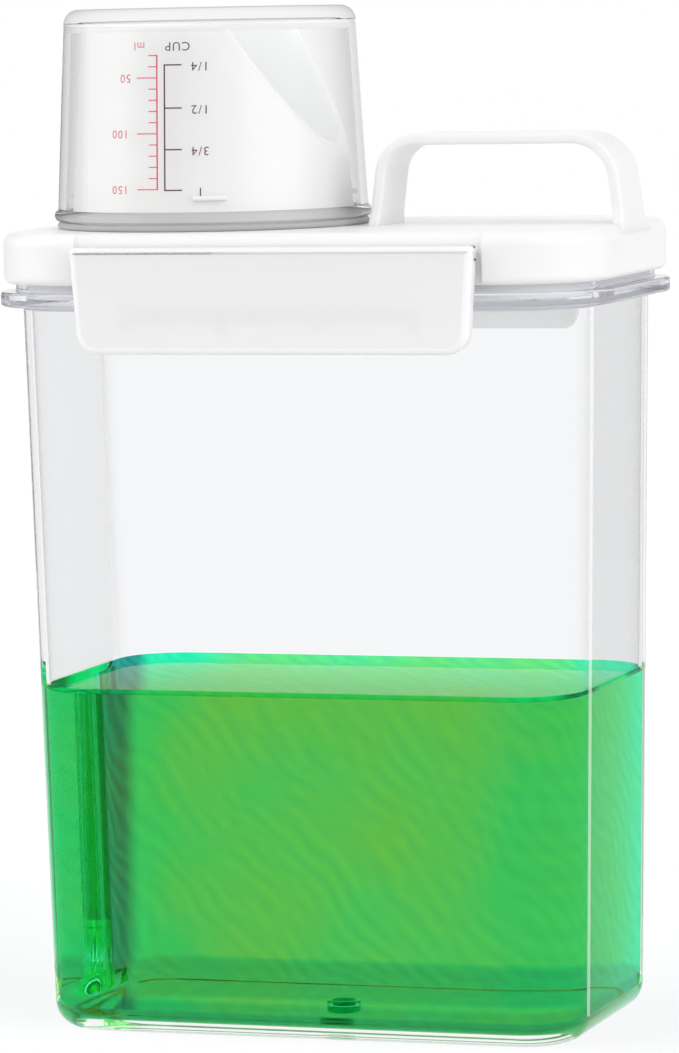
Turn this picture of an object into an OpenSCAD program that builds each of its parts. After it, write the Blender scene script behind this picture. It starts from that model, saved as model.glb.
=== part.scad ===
// Laundry detergent dispenser: a clear drafted container, a white lid held by two
// snap latches, a fixed carry handle, an oblique pour spout and a clear measuring
// cup that is pushed over the spout as its cap.
// The origin is the middle of the base, +Z is up and the front latch faces -Y.

/* [Container] */
// Width of the body just under the flange
body_w = 138; // [120:1:180]
// Depth of the body just under the flange
body_d = 82; // [74:1:110]
// Height of the flange's underside above the base
body_h = 171; // [120:1:240]
// Radius of the upright corners just under the flange
corner_r = 18.5; // [15:0.5:26]
// Thickness of the container's wall
wall = 2; // [1.4:0.1:2.6]
// Draft of the walls, which lets the moulding leave its core
draft_deg = 1.26; // [0.5:0.01:1.6]
// Thickness of the floor
floor_t = 3.5; // [2.5:0.1:5]
// Radius of the outer edge round the base
base_edge_r = 6.5; // [4:0.5:8]
// Radius of the inner edge round the floor
floor_edge_r = 5; // [3:0.5:7]
// Depth of the hollow under the base
foot_recess = 0.8; // [0.4:0.1:1.5]
// Width of the flat foot rim round that hollow
foot_rim = 4; // [3:0.5:8]

/* [Container rim] */
// Thickness of the flange that the latches hook under
flange_t = 3.4; // [2.4:0.1:5]
// Reach of the flange beyond the body
flange_out = 5.2; // [4.4:0.1:7]
// Chamfer of the flange's edges
flange_chamfer = 0.5; // [0.2:0.1:0.8]
// Reach of the neck beyond the body
neck_out = 1.6; // [1.2:0.1:1.9]
// Thickness of the neck's wall
neck_wall = 2.2; // [1.8:0.1:2.6]

/* [Detergent] */
// Depth of the liquid over the floor
fill_depth = 77; // [20:1:110]
// Room between the liquid's solid and the wall
fill_clear = 0.1; // [0.05:0.05:0.3]

/* [Lid] */
// Height of the lid's side
lid_side_h = 12; // [11:0.5:16]
// Open strip between the flange and the lid's lower edge
lid_gap = 1.8; // [1:0.1:3]
// Distance of the lid's side inside the flange's edge
lid_inset = 0.8; // [0.4:0.1:1]
// Thickness of the lid's top plate
lid_top_t = 2.5; // [2:0.1:3]
// Thickness of the lid's skirt
skirt_t = 2.1; // [1.8:0.1:2.2]
// Radius of the lid's upper edge
lid_edge_r = 3; // [2:0.1:3.5]
// Radius of the skirt's lower outer edge
lip_r = 1.9; // [1:0.1:2]
// Thickness of the plug wall that enters the neck
plug_t = 2; // [1.4:0.1:2.6]
// Room between the plug wall's foot and the step in the container's mouth
plug_foot_gap = 0.3; // [0.2:0.1:4]
// Room between the plug wall and the neck
plug_clear = 0.6; // [0.3:0.1:1]
// Height of the sealing ring in the lid's groove
gasket_h = 2.5; // [1.5:0.1:3]
// Room on each side of the sealing ring
gasket_clear = 0.1; // [0.05:0.05:0.3]

/* [Pour spout] */
// Room between the spout and the cup's wall at the lid
spout_low_gap = 1.7; // [1.4:0.1:2.5]
// Room between the spout and the cup's wall at the spout's top
spout_high_gap = 2.3; // [1.5:0.1:4]
// Room between the spout's top and the cup's base
spout_top_gap = 1.2; // [0.6:0.1:6]
// Thickness of the spout's wall
spout_wall = 2; // [1.4:0.1:2.6]
// Steepness of the pouring cut
spout_cut_deg = 58; // [45:1:65]
// Width of the flat stretch on the spout's top, right of its axis
spout_flat = 12.8; // [6:0.1:18]
// Height of the snap ribs over the lid
snap_rib_z = 7; // [5:0.1:10]
// Room between the snap ribs and the cup's wall
snap_rib_gap = 0.5; // [0.3:0.05:0.7]
// Length of a snap rib round the spout, in degrees
snap_rib_deg = 13; // [8:1:24]
// Height of a snap rib
snap_rib_h = 1.2; // [0.8:0.1:2]
// Number of snap ribs round the spout
snap_ribs = 4; // [2:1:6]
// Turn of the first snap rib from the right
snap_rib_turn = 18; // [0:1:45]
// Height of the soft ring that the cup's rim sits on
seal_h = 1.5; // [1:0.1:2.5]
// Width of that ring
seal_w = 3.4; // [2.5:0.1:3.6]
// Room between that ring and the spout
seal_clear = 0.1; // [0.05:0.05:0.3]

/* [Measuring cup] */
// Distance of the cup's rim from the lid's left end
cup_end_gap = 5.5; // [4:0.1:8]
// Height of the cup
cup_h = 49.9; // [46:0.1:60]
// Outer radius of the cup's wall at its rim
cup_rim_r = 36.9; // [36.8:0.1:37.5]
// Amount that the cup's wall draws in towards its base, which is uppermost
cup_taper = 2.6; // [1:0.1:3]
// Thickness of the cup's wall
cup_wall = 1.8; // [1.2:0.1:2]
// Thickness of the cup's base
cup_base_t = 3; // [2:0.1:3.4]
// Radius of the edge round the cup's base
cup_edge_r = 3.5; // [2.5:0.1:5]
// Radius of the bead round the cup's rim
cup_bead_r = 1.6; // [1:0.1:2]
// Reach of that bead beyond the wall
cup_bead_out = 0.7; // [0.4:0.1:1]

/* [Handle] */
// Height of the handle over the lid
handle_h = 21.3; // [19:0.1:30]
// Thickness of the handle's strap
handle_t = 2.6; // [2:0.1:3.5]
// Width of the strap
handle_w = 19; // [14:0.5:24]
// Radius of the bar's upper edges
handle_edge_r = 0.9; // [0.4:0.1:1.5]
// Room between the cup's rim and the handle's left foot
handle_cup_gap = 3.9; // [2:0.1:8]
// Lean of the two legs towards each other
handle_lean = 7.5; // [3:0.5:12]
// Outer radius of the left bend
handle_left_r = 9.7; // [6:0.1:12]
// Outer radius of the right bend
handle_right_r = 11.3; // [7:0.1:14]
// Radius of the flare at each foot
handle_flare_r = 7; // [3:0.5:8]

/* [Latches] */
// Width of a latch along its top
latch_w = 97; // [70:1:100]
// Amount that each side of the latch draws in towards the bottom
latch_taper = 1.7; // [0:0.1:3]
// Height of a latch
latch_h = 24.6; // [23:0.1:30]
// Thickness of the latch's front plate
latch_t = 1.8; // [1.4:0.1:2]
// Depth of the latch from its front to its side edges
latch_depth = 3.8; // [3.4:0.1:4.5]
// Room between the latch's side edges and the flange
latch_clear = 0.4; // [0.3:0.1:0.8]
// Rise of the latch's top above the start of the lid's round upper edge
latch_rise = 0.1; // [-0.3:0.1:0.3]
// Radius of the latch's front edges
latch_edge_r = 1.6; // [1:0.1:1.7]
// Radius of the latch's lower corners
latch_corner_r = 5; // [3:0.5:8]
// Thickness of the latch's side cheeks
cheek_t = 1.6; // [1.2:0.1:2]
// Radius of the hinge pins beside the cheeks
pin_r = 0.8; // [0.6:0.05:0.9]
// Radial clearance of the pins in their ears
pin_clear = 0.05; // [0.02:0.01:0.1]
// Wall of an ear round its bore
ear_wall = 0.65; // [0.5:0.05:0.7]
// Thickness of a hinge ear on the lid
ear_t = 2; // [1.4:0.1:3]
// Room round an ear
ear_clear = 0.3; // [0.25:0.05:0.4]
// Amount by which the ear's slot is narrower than its pin
snap_bite = 0.3; // [0.1:0.05:0.5]
// Depth of the recess in the lid's side behind a latch
latch_recess = 1.2; // [1:0.1:1.5]
// Room between that recess and each end of the latch
recess_side = 0.8; // [0.4:0.1:1.5]
// Width of the hook inside a latch
hook_w = 72; // [40:1:84]
// Thickness of the hook
hook_t = 2.4; // [1.6:0.1:3]
// Reach of the hook under the flange
hook_reach = 2.6; // [1.5:0.1:3]
// Room between the hook and the flange
hook_clear = 0.4; // [0.3:0.05:0.6]
// Number of ribs that brace the hook
hook_ribs = 4; // [2:1:6]
// Distance from the hook's ends to the middle of the outermost ribs
hook_rib_end = 1.4; // [1:0.1:3]

/* [Hidden] */
$fn = 64;
// Overlap of pieces that are fused, and overshoot of cuts
fuse = 0.5;
draft = tan(draft_deg);
// Middles of the upright corners
corner_x = body_w / 2 - corner_r;
corner_y = body_d / 2 - corner_r;
// Heights of the stack from the flange to the cup
flange_top = body_h + flange_t;
lid_bottom = flange_top + lid_gap;
lid_top = lid_bottom + lid_side_h;
plate_bottom = lid_top - lid_top_t;
neck_top = plate_bottom - gasket_h;
seal_top = lid_top + seal_h;
// Corner radii of the outlines that follow each other round the rim
flange_r = corner_r + flange_out;
neck_outer_r = corner_r + neck_out;
neck_inner_r = neck_outer_r - neck_wall;
lid_r = flange_r - lid_inset;
skirt_inner_r = lid_r - skirt_t;
plug_outer_r = neck_inner_r - plug_clear;
// Step by which the cavity widens into the neck, and the depth of the plug wall above it
mouth_step = neck_inner_r - corner_r + wall;
plug_drop = plate_bottom - body_h - mouth_step - plug_foot_gap;
// Outer faces of the flange and the lid at the front, and the lid's right end
flange_y = corner_y + flange_r;
lid_y = corner_y + lid_r;
lid_x = corner_x + lid_r;
// Latch: its back edge, front face, heights and hinge axis, for the front one
latch_back = flange_y + latch_clear;
latch_front = latch_back + latch_depth;
latch_top = lid_top - lid_edge_r + latch_rise;
latch_bottom = latch_top - latch_h;
plate_back = latch_front - latch_t;
ear_r = pin_r + pin_clear + ear_wall;
barrel_r = ear_r + ear_clear;
hinge_y = plate_back - barrel_r;
hinge_z = latch_top - barrel_r;
recess_y = lid_y - latch_recess;
// Places along the hinge: the cheek's inner face, the ear's middle and the barrel's end
cheek_x = latch_w / 2 - latch_taper * barrel_r / latch_h - cheek_t;
ear_x = cheek_x - ear_clear - ear_t / 2;
barrel_x = ear_x - ear_t / 2 - ear_clear;
// Handle: the height at which its feet enter the lid, and how far they stay inside its end
handle_z = plate_bottom;
handle_sink = 0.1;
// Cup: the slope of its wall, and the distance of its axis to the left of the middle
cup_slope = cup_taper / cup_h;
spout_off = lid_x - cup_end_gap - cup_rim_r - cup_bead_out;
handle_left = cup_rim_r + cup_bead_out + handle_cup_gap - spout_off;
// Spout: its height over the lid, its outer radii and the slope of its wall
spout_h = seal_h + cup_h - cup_base_t - spout_top_gap;
spout_top = lid_top + spout_h;
spout_base_r = cup_rim_r - cup_wall - spout_low_gap;
spout_top_r = cup_rim_r - cup_taper - cup_wall - spout_high_gap;
spout_slope = (spout_base_r - spout_top_r) / spout_h;
// Reach of the snap ribs beyond the spout, up to just short of the cup's wall
snap_rib_room = spout_low_gap + spout_slope * snap_rib_z - cup_slope * (snap_rib_z + snap_rib_h - seal_h);
snap_rib_out = snap_rib_room - snap_rib_gap;
clear_plastic = [0.86, 0.89, 0.92, 0.4];
white_plastic = [0.95, 0.95, 0.94];
silicone = [0.72, 0.73, 0.74];
green_liquid = [0.16, 0.66, 0.22, 0.75];

// Radius of the drafted outer corner at height z
function wall_r(z) = corner_r - (body_h - z) * draft;

// Carries a profile, with x outward from the corner's middle, round the rounded outline
module swept() {
    for (q = [0:3]) {
        even = q % 2 == 0;
        side_x = even ? corner_x : corner_y;
        side_y = even ? corner_y : corner_x;
        rotate(90 * q) {
            translate([side_x, 0, 0])
                rotate([90, 0, 0])
                linear_extrude(2 * side_y, center = true)
                children();
            translate([side_x, side_y, 0])
                rotate_extrude(angle = 90)
                children();
        }
    }
}

// A swept profile whose middle is filled between two heights
module filled(low, high) {
    swept() children();
    translate([-corner_x, -corner_y, low])
        cube([2 * corner_x, 2 * corner_y, high - low]);
}

// Half section of a drafted block with a round lower edge that is tangent to both sides
module drafted_half(low, high, inset, edge_r) {
    low_r = wall_r(low) - inset;
    mid_r = low_r + edge_r * draft - edge_r / cos(draft_deg);
    touch = [mid_r + edge_r * cos(draft_deg), low + edge_r * (1 - sin(draft_deg))];
    polygon([[0, low], [mid_r, low], touch, [wall_r(high) - inset, high], [0, high]]);
    translate([mid_r, low + edge_r])
        circle(edge_r);
}

// Flat rounded outline with the body's corner middles
module outline(r) {
    square([2 * (corner_x + r), 2 * corner_y], center = true);
    square([2 * corner_x, 2 * (corner_y + r)], center = true);
    for (x = [-1, 1], y = [-1, 1])
        translate([x * corner_x, y * corner_y])
            circle(r);
}

// Half section of the flange and the neck above it
module rim_half() {
    c = flange_chamfer;
    polygon([
        [0, body_h], [flange_r - c, body_h], [flange_r, body_h + c],
        [flange_r, flange_top - c], [flange_r - c, flange_top],
        [neck_outer_r, flange_top], [neck_outer_r, neck_top], [0, neck_top]
    ]);
}

// Half section of the cavity where it widens into the neck
module mouth_half() {
    polygon([
        [0, body_h - fuse], [wall_r(body_h - fuse) - wall, body_h - fuse],
        [corner_r - wall, body_h], [neck_inner_r, body_h + mouth_step],
        [neck_inner_r, neck_top + fuse], [0, neck_top + fuse]
    ]);
}

module container() {
    color(clear_plastic)
        difference() {
            union() {
                filled(0, body_h)
                    drafted_half(0, body_h, 0, base_edge_r);
                filled(body_h, neck_top)
                    rim_half();
            }
            filled(floor_t, body_h - fuse)
                drafted_half(floor_t, body_h - fuse, wall, floor_edge_r);
            filled(body_h - fuse, neck_top + fuse)
                mouth_half();
            translate([0, 0, -fuse])
                linear_extrude(foot_recess + fuse)
                outline(wall_r(0) - base_edge_r - foot_rim);
        }
}

module detergent() {
    low = floor_t + fill_clear;
    high = floor_t + fill_depth;
    color(green_liquid)
        filled(low, high)
        drafted_half(low, high, wall + fill_clear, floor_edge_r);
}

// Half section of the lid's outside, with a round upper edge and a round lower lip
module lid_half() {
    edge_x = lid_r - lid_edge_r;
    lip_x = lid_r - lip_r;
    polygon([
        [0, lid_bottom], [lip_x, lid_bottom], [lid_r, lid_bottom + lip_r],
        [lid_r, lid_top - lid_edge_r], [edge_x, lid_top], [0, lid_top]
    ]);
    translate([edge_x, lid_top - lid_edge_r])
        circle(lid_edge_r);
    translate([lip_x, lid_bottom + lip_r])
        circle(lip_r);
}

// Top plate and skirt, open underneath
module lid_shell() {
    difference() {
        filled(lid_bottom, lid_top)
            lid_half();
        translate([0, 0, lid_bottom - fuse])
            linear_extrude(plate_bottom - lid_bottom + fuse)
            outline(skirt_inner_r);
    }
    swept()
        translate([plug_outer_r - plug_t, plate_bottom - plug_drop])
        square([plug_t, plug_drop + fuse]);
}

// Recess in the lid's front side, in which a latch sits
module latch_pocket() {
    low = lid_bottom - fuse;
    edge_z = lid_top - lid_edge_r;
    length = latch_w + 2 * recess_side;
    rotate([90, 0, -90])
        linear_extrude(length, center = true)
        difference() {
            translate([recess_y - lid_edge_r, low])
                square([lid_y, lid_top - low + fuse]);
            translate([recess_y - 2 * lid_edge_r, low - fuse])
                square([2 * lid_edge_r, edge_z - low + fuse]);
            translate([recess_y - lid_edge_r, edge_z])
                circle(lid_edge_r);
        }
}

// Two ears that the front latch's pins snap into from below
module hinge_ears() {
    neck_half = ear_r - ear_clear;
    slot = 2 * pin_r - snap_bite;
    for (side = [-1, 1])
        translate([side * ear_x, -hinge_y, hinge_z])
            difference() {
                union() {
                    rotate([0, 90, 0])
                        cylinder(h = ear_t, r = ear_r, center = true);
                    translate([-ear_t / 2, 0, -neck_half])
                        cube([ear_t, hinge_y - recess_y + fuse, 2 * neck_half]);
                }
                rotate([0, 90, 0])
                    cylinder(h = ear_t + 2 * fuse, r = pin_r + pin_clear, center = true);
                translate([-ear_t / 2 - fuse, -slot / 2, -2 * ear_r])
                    cube([ear_t + 2 * fuse, slot, 2 * ear_r]);
            }
}

// Conical tube of the spout and its snap ribs, cut off at a slant to pour from
module spout() {
    base_r = spout_base_r + spout_slope * lid_top_t;
    cut_half = spout_base_r + snap_rib_out + fuse;
    difference() {
        translate([-spout_off, 0, 0]) {
            translate([0, 0, plate_bottom])
                cylinder(h = spout_top - plate_bottom, r1 = base_r, r2 = spout_top_r);
            for (k = [0:snap_ribs - 1])
                translate([0, 0, lid_top + snap_rib_z])
                    rotate(snap_rib_turn + 360 * k / snap_ribs - snap_rib_deg / 2)
                    rotate_extrude(angle = snap_rib_deg)
                    translate([spout_base_r - spout_slope * snap_rib_z - fuse, 0])
                    square([fuse + snap_rib_out, snap_rib_h]);
        }
        translate([spout_flat - spout_off, 0, spout_top])
            rotate([0, spout_cut_deg, 0])
            translate([-spout_h / 4, -cut_half, 0])
            cube([2 * spout_h, 2 * cut_half, spout_h]);
    }
}

// Bore of the spout, right through the lid
module spout_bore() {
    base_r = spout_base_r + spout_slope * (lid_top_t + fuse) - spout_wall;
    translate([-spout_off, 0, plate_bottom - fuse])
        cylinder(h = spout_top - plate_bottom + 2 * fuse, r1 = base_r,
            r2 = spout_top_r - spout_slope * fuse - spout_wall);
}

// Face of the arch inside an inset, with its legs leaning and its two bends round
module arch(inset) {
    lean = handle_lean;
    top = lid_top + handle_h - inset;
    left_z = lid_top + handle_h - handle_left_r;
    right_z = lid_top + handle_h - handle_right_r;
    left_x = handle_left + (left_z - lid_top) * tan(lean);
    right_x = lid_x - handle_sink - (right_z - handle_z) * tan(lean);
    left_mid = [left_x + handle_left_r / cos(lean), left_z];
    right_mid = [right_x - handle_right_r / cos(lean), right_z];
    left_r = handle_left_r - inset;
    right_r = handle_right_r - inset;
    left_touch = left_mid + left_r * [-cos(lean), sin(lean)];
    right_touch = right_mid + right_r * [cos(lean), sin(lean)];
    polygon([
        [left_touch[0] - (left_touch[1] - handle_z) * tan(lean), handle_z], left_touch,
        [left_mid[0], top], [right_mid[0], top], right_touch,
        [right_touch[0] + (right_touch[1] - handle_z) * tan(lean), handle_z]
    ]);
    translate(left_mid)
        circle(left_r);
    translate(right_mid)
        circle(right_r);
}

// Carry handle: a strap whose left foot stands on the lid and whose right foot runs
// into the lid's end side, flared at both feet and rounded along the top of its bar
module handle() {
    half = handle_w / 2;
    r = handle_flare_r;
    edge = handle_edge_r;
    top = lid_top + handle_h;
    intersection() {
        translate([0, half + r, 0])
            rotate([90, 0, 0])
            linear_extrude(2 * (half + r))
            difference() {
                arch(0);
                arch(handle_t);
            }
        rotate([90, 0, 90])
            linear_extrude(lid_x) {
                translate([-half, handle_z])
                    square([2 * half, top - edge - handle_z]);
                translate([edge - half, handle_z])
                    square([2 * (half - edge), top - handle_z]);
                for (side = [-1, 1]) {
                    translate([side * (half - edge), top - edge])
                        circle(edge);
                    difference() {
                        translate([side * (half + r / 2), handle_z + r / 2])
                            square(r, center = true);
                        translate([side * (half + r), handle_z + r])
                            circle(r);
                    }
                }
            }
    }
}

module lid() {
    color(white_plastic) {
        difference() {
            union() {
                difference() {
                    lid_shell();
                    for (turn = [0, 180])
                        rotate(turn)
                        latch_pocket();
                }
                spout();
            }
            spout_bore();
        }
        handle();
        for (turn = [0, 180])
            rotate(turn)
            hinge_ears();
    }
}

module lid_gasket() {
    inner_r = plug_outer_r + gasket_clear;
    outer_r = skirt_inner_r - gasket_clear;
    color(silicone)
        swept()
        translate([inner_r, neck_top])
        square([outer_r - inner_r, gasket_h]);
}

module spout_seal() {
    inner_r = spout_base_r + seal_clear;
    bulge = seal_h / 2;
    color(silicone)
        translate([-spout_off, 0, lid_top])
        rotate_extrude() {
            translate([inner_r, 0])
                square([seal_w - bulge, seal_h]);
            translate([inner_r + seal_w - bulge, bulge])
                circle(bulge);
        }
}

// Half section of a cup-shaped solid that narrows upward to a round edge
module cone_half(low_r, height, edge_r) {
    lean = atan(cup_slope);
    mid_z = height - edge_r;
    mid_r = low_r - cup_slope * mid_z - edge_r / cos(lean);
    touch = [mid_r + edge_r * cos(lean), mid_z + edge_r * sin(lean)];
    polygon([[0, 0], [low_r, 0], touch, [mid_r, height], [0, height]]);
    translate([mid_r, mid_z])
        circle(edge_r);
}

module measuring_cup() {
    bore_r = cup_rim_r - cup_wall;
    bead_x = cup_rim_r + cup_bead_out - cup_bead_r;
    color(clear_plastic)
        translate([-spout_off, 0, seal_top])
        difference() {
            rotate_extrude() {
                cone_half(cup_rim_r, cup_h, cup_edge_r);
                square([bead_x, 2 * cup_bead_r]);
                translate([bead_x, cup_bead_r])
                    circle(cup_bead_r);
            }
            translate([0, 0, -fuse])
                rotate_extrude()
                cone_half(bore_r + cup_slope * fuse, cup_h - cup_base_t + fuse, cup_edge_r - cup_wall / 2);
        }
}

// Outline of the latch seen from the front, drawn in by an inset
module latch_face(inset) {
    top_half = latch_w / 2 - inset;
    low_half = top_half - latch_taper;
    r = latch_corner_r - inset;
    low = latch_bottom + inset;
    hull() {
        translate([-top_half, latch_top - inset - fuse])
            square([2 * top_half, fuse]);
        for (side = [-1, 1])
            translate([side * (low_half - r), low + r])
                circle(r, $fn = 32);
    }
}

// Outer form of the latch, its front edges rounded in steps of an arc
module latch_block() {
    steps = 4;
    hull()
        for (k = [0:steps]) {
            a = 90 * k / steps;
            depth = latch_edge_r * (1 - sin(a));
            translate([0, depth - latch_front, 0])
                rotate([90, 0, 180])
                linear_extrude(latch_front - depth - latch_back)
                latch_face(latch_edge_r * (1 - cos(a)));
        }
}

// Hook under the flange with its bracing ribs, as seen from the latch's end
module latch_hook() {
    top = body_h - hook_clear;
    tip = flange_y - hook_reach;
    rotate([90, 0, -90]) {
        linear_extrude(hook_w, center = true)
            polygon([
                [plate_back + fuse, top], [tip, top], [tip, top - hook_t / 2],
                [tip + hook_t / 2, top - hook_t], [plate_back + fuse, top - hook_t]
            ]);
        for (k = [0:hook_ribs - 1])
            translate([0, 0, (hook_w - 2 * hook_rib_end) * (k / (hook_ribs - 1) - 0.5)])
                linear_extrude(cheek_t, center = true)
                polygon([
                    [plate_back + fuse, top - hook_t + fuse], [latch_back, top - hook_t + fuse],
                    [latch_back, top - hook_t], [plate_back + fuse, top - 2 * hook_t]
                ]);
    }
}

// Front latch, closed: plate, cheeks, hinge barrel with its pins, and hook
module latch() {
    pocket_low = latch_w / 2 - latch_taper - cheek_t;
    pocket_top = latch_w / 2 - cheek_t;
    difference() {
        latch_block();
        translate([0, -plate_back, 0])
            rotate([90, 0, 180])
            linear_extrude(latch_depth)
            polygon([
                [-pocket_low, latch_bottom - fuse], [pocket_low, latch_bottom - fuse],
                [pocket_top, latch_top + fuse], [-pocket_top, latch_top + fuse]
            ]);
    }
    translate([0, -hinge_y, hinge_z]) {
        rotate([0, 90, 0]) {
            cylinder(h = 2 * barrel_x, r = barrel_r, center = true);
            cylinder(h = 2 * cheek_x + cheek_t, r = pin_r, center = true);
            for (side = [-1, 1])
                translate([0, 0, side * (cheek_x + cheek_t / 2)])
                    cylinder(h = cheek_t, r = barrel_r, center = true);
        }
        translate([-barrel_x, -barrel_r - fuse, 0])
            cube([2 * barrel_x, barrel_r + fuse, barrel_r]);
    }
    latch_hook();
}

module front_latch() {
    color(white_plastic)
        latch();
}

module rear_latch() {
    color(white_plastic)
        rotate(180)
        latch();
}

container();
detergent();
lid();
lid_gasket();
spout_seal();
measuring_cup();
front_latch();
rear_latch();
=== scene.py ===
# %% [markdown]
# # A laundry detergent dispenser, dressed in Blender
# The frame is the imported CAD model: a clear container with a flange and a neck, green
# detergent, a white lid with a pour spout and a carry handle, two snap latches, two soft
# rings and a clear measuring cup that is pushed over the spout. Each solid is modelled
# again here with finer rounds, so that clear plastic bends light smoothly, and each one
# stays exactly where the frame says it is. All lengths below are in millimetres.

# %% Load the frame
import math

import bmesh
import bpy
from mathutils import Matrix, Vector


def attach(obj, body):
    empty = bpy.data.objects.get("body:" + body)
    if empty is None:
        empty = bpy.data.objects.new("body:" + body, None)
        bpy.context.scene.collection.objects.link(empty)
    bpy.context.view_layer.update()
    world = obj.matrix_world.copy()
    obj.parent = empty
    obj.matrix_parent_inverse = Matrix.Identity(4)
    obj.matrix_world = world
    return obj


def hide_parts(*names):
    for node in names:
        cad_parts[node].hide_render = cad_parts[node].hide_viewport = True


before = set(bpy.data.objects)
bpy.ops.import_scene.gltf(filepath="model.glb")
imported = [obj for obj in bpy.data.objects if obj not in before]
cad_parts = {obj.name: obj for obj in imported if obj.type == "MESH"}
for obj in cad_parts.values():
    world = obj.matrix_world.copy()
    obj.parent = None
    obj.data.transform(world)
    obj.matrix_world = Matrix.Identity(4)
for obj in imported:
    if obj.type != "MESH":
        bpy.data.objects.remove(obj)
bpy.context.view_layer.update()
scene = bpy.context.scene
MM = 0.001
print("frame:", sorted(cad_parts))

# %% [markdown]
# ## The camera
# The photograph was taken with a long lens from a little to the right of the front and
# from just above the lid. The camera stands where the lines of the flange, the base and
# the cup's rim agree with the picture, and it is rolled by about one degree as the
# picture is. A long lens could be copied by moving a short one closer, but the flange
# would then look bowed.

# %% Camera
side, down, roll = math.radians(18.2), math.radians(5.36), math.radians(-1.13)
eye = Vector((424.7, -1293.3, 244.6)) * MM
forward = Vector((-math.sin(side) * math.cos(down), math.cos(side) * math.cos(down), -math.sin(down)))
level = Vector((math.cos(side), math.sin(side), 0))
upright = level.cross(forward)
right = math.cos(roll) * level + math.sin(roll) * upright
top = math.cos(roll) * upright - math.sin(roll) * level

bpy.ops.object.select_all(action="DESELECT")
bpy.ops.object.camera_add(location=eye)
camera = bpy.context.object
camera.rotation_euler = Matrix((right, top, -forward)).transposed().to_euler()
camera.data.lens = 197.9
camera.data.clip_end = 100
scene.camera = camera
print("camera stands", round(eye.length, 3), "m from the middle of the base")

# %% [markdown]
# ## Helpers for nodes
# World, stage and finishes are all built from shader nodes. A few small functions make a
# node with its properties, set its sockets, join values in a sum and mix two colours. They
# keep the cells below short. Setting each socket by hand would say the same in more lines.

# %% Making and joining nodes
def add(tree, kind, **sets):
    """A node with its properties set."""
    node = tree.nodes.new(kind)
    for name, value in sets.items():
        setattr(node, name, value)
    return node


def put(node, **values):
    """Sets a node's sockets to plain values; an underscore stands for a space."""
    for name, value in values.items():
        node.inputs[name.replace("_", " ")].default_value = value


def feed(tree, port, value, plain):
    """Gives a socket a plain value or joins another socket to it."""
    if isinstance(value, plain):
        port.default_value = (*value, 1) if plain is tuple else value
    else:
        tree.links.new(value, port)


def reckon(tree, operation, *values, clamp=False):
    """Joins values, or plain numbers, in one sum."""
    result = add(tree, "ShaderNodeMath", operation=operation, use_clamp=clamp)
    for port, value in zip(result.inputs, values):
        feed(tree, port, value, float)
    return result.outputs[0]


def mix(tree, share, low, high):
    """Mixes two colours, each a plain one or a socket's."""
    blend = add(tree, "ShaderNodeMix", data_type="RGBA")
    tree.links.new(share, blend.inputs[0])
    for port, colour in zip([port for port in blend.inputs if port.type == "RGBA"], (low, high)):
        feed(tree, port, colour, tuple)
    return [port for port in blend.outputs if port.type == "RGBA"][0]


def bare_tree(owner):
    """The node tree of a world or a material, emptied."""
    owner.use_nodes = True
    owner.node_tree.nodes.clear()
    return owner.node_tree

# %% [markdown]
# ## Light, floor and background
# The picture is a plain cut-out on white. Its light is soft and even, and a little stronger
# from both sides than from the front: the spout is brightest at its left and right. The
# world lights the piece from all round, two wide lamps stand at the sides, and rays that
# come from the camera, a gloss or clear plastic meet plain white. The floor is pale, keeps
# the shadow under the base, and is lifted to white only for those same rays.

# %% Background seen by the camera and through clear plastic
def seen_rays(tree):
    """A mask that is 1 for rays from the camera, from a gloss or through clear plastic."""
    path = add(tree, "ShaderNodeLightPath").outputs
    plain = reckon(tree, "MAXIMUM", path["Is Camera Ray"], path["Is Glossy Ray"])
    return reckon(tree, "MAXIMUM", plain, path["Is Transmission Ray"])


world = bpy.data.worlds.new("studio")
scene.world = world
tree = bare_tree(world)
soft = add(tree, "ShaderNodeBackground")
put(soft, Color=(0.97, 0.985, 1.0, 1), Strength=0.78)
white = add(tree, "ShaderNodeBackground")
put(white, Color=(1, 1, 1, 1), Strength=1.0)
sky = add(tree, "ShaderNodeMixShader")
for port, source in zip(sky.inputs, (seen_rays(tree), soft.outputs[0], white.outputs[0])):
    tree.links.new(source, port)
tree.links.new(sky.outputs[0], add(tree, "ShaderNodeOutputWorld").inputs["Surface"])
scene.view_settings.view_transform = "Standard"
print("world light:", soft.inputs["Strength"].default_value)

# %% Wide lamps at the sides
for name, aim in (("left_lamp", (1.0, 0.35, -0.42)), ("right_lamp", (-1.0, 0.35, -0.42))):
    bpy.ops.object.light_add(type="SUN", location=-Vector(aim))
    lamp = bpy.context.object
    lamp.name = name
    lamp.data.energy = 1.08
    lamp.data.angle = math.radians(60)
    lamp.data.color = (1.0, 0.99, 0.975)
    lamp.rotation_euler = Vector(aim).to_track_quat("-Z", "Y").to_euler()
    print(name, "with energy", round(lamp.data.energy, 2))

# %% Pale floor
floor_finish = bpy.data.materials.new("pale_floor")
tree = bare_tree(floor_finish)
matt = add(tree, "ShaderNodeBsdfDiffuse")
put(matt, Color=(0.8, 0.8, 0.8, 1))
lift = add(tree, "ShaderNodeEmission")
tree.links.new(reckon(tree, "MULTIPLY", seen_rays(tree), 0.2), lift.inputs["Strength"])
both = add(tree, "ShaderNodeAddShader")
tree.links.new(matt.outputs[0], both.inputs[0])
tree.links.new(lift.outputs[0], both.inputs[1])
tree.links.new(both.outputs[0], add(tree, "ShaderNodeOutputMaterial").inputs["Surface"])
bpy.ops.mesh.primitive_plane_add(size=8, location=(0, 0, 0))
floor = bpy.context.object
floor.name = "floor"
floor.data.materials.append(floor_finish)
print("floor is", round(floor.dimensions.x, 1), "m wide")

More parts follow.
